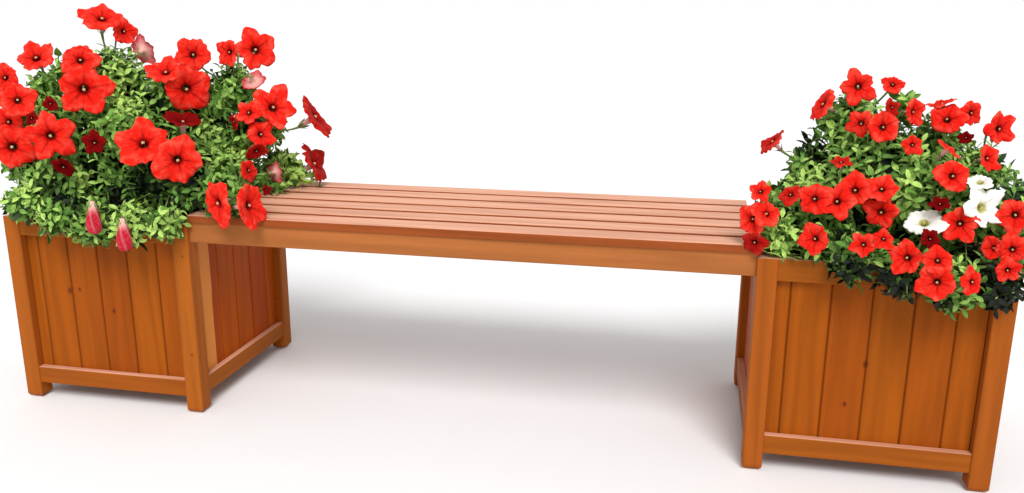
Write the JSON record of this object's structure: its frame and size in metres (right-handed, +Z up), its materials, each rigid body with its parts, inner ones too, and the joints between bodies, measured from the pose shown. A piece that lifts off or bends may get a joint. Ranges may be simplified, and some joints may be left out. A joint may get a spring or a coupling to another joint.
{
  "type": "planter bench",
  "caption": "Slatted wooden garden bench carried between square tongue-and-groove planter boxes full of trailing petunias.",
  "frame": {"origin": "on the ground at the middle of the bench, under the middle of the seat", "axes": "+Z up, +X along the bench towards the right box as seen from the front, -Y towards the front"},
  "size_m": [2.0489, 0.6425, 0.7609],
  "materials": {
    "post_wood": "matte",
    "rail_wood": "matte",
    "board_wood": "matte",
    "seat_wood": "matte",
    "fastener_steel": "satin",
    "liner_plastic": "matte",
    "soil": "matte",
    "foliage": "matte",
    "red_petal": "matte",
    "white_petal": "matte"
  },
  "bodies": {
    "root": {"left_box_front_left_post": "post_wood", "left_box_front_right_post": "post_wood", "left_box_rear_left_post": "post_wood", "left_box_rear_right_post": "post_wood", "left_box_front_bottom_rail": "rail_wood", "left_box_front_top_rail": "rail_wood", "left_box_front_boards": "board_wood", "left_box_right_bottom_rail": "rail_wood", "left_box_right_top_rail": "rail_wood", "left_box_right_boards": "board_wood", "left_box_rear_bottom_rail": "rail_wood", "left_box_rear_top_rail": "rail_wood", "left_box_rear_boards": "board_wood", "left_box_left_bottom_rail": "rail_wood", "left_box_left_top_rail": "rail_wood", "left_box_left_boards": "board_wood", "left_box_floor_cleats": "rail_wood", "left_box_floor_slats": "board_wood", "left_box_liner": "liner_plastic", "left_box_soil": "soil", "left_box_foliage": "foliage", "left_box_red_blooms": "red_petal", "right_box_front_left_post": "post_wood", "right_box_front_right_post": "post_wood", "right_box_rear_left_post": "post_wood", "right_box_rear_right_post": "post_wood", "right_box_front_bottom_rail": "rail_wood", "right_box_front_top_rail": "rail_wood", "right_box_front_boards": "board_wood", "right_box_right_bottom_rail": "rail_wood", "right_box_right_top_rail": "rail_wood", "right_box_right_boards": "board_wood", "right_box_rear_bottom_rail": "rail_wood", "right_box_rear_top_rail": "rail_wood", "right_box_rear_boards": "board_wood", "right_box_left_bottom_rail": "rail_wood", "right_box_left_top_rail": "rail_wood", "right_box_left_boards": "board_wood", "right_box_floor_cleats": "rail_wood", "right_box_floor_slats": "board_wood", "right_box_liner": "liner_plastic", "right_box_soil": "soil", "right_box_foliage": "foliage", "right_box_red_blooms": "red_petal", "right_box_white_blooms": "white_petal", "seat_slat_1": "seat_wood", "seat_slat_2": "seat_wood", "seat_slat_3": "seat_wood", "seat_slat_4": "seat_wood", "seat_slat_5": "seat_wood", "seat_slat_6": "seat_wood", "seat_front_apron": "rail_wood", "seat_rear_apron": "rail_wood", "seat_end_bearers": "rail_wood", "seat_middle_bearers": "rail_wood", "seat_bolts": "fastener_steel", "seat_nuts": "fastener_steel", "seat_spacers": "fastener_steel", "wood_screws": "fastener_steel", "wooden_dowels": "rail_wood"}
  },
  "joints": []
}
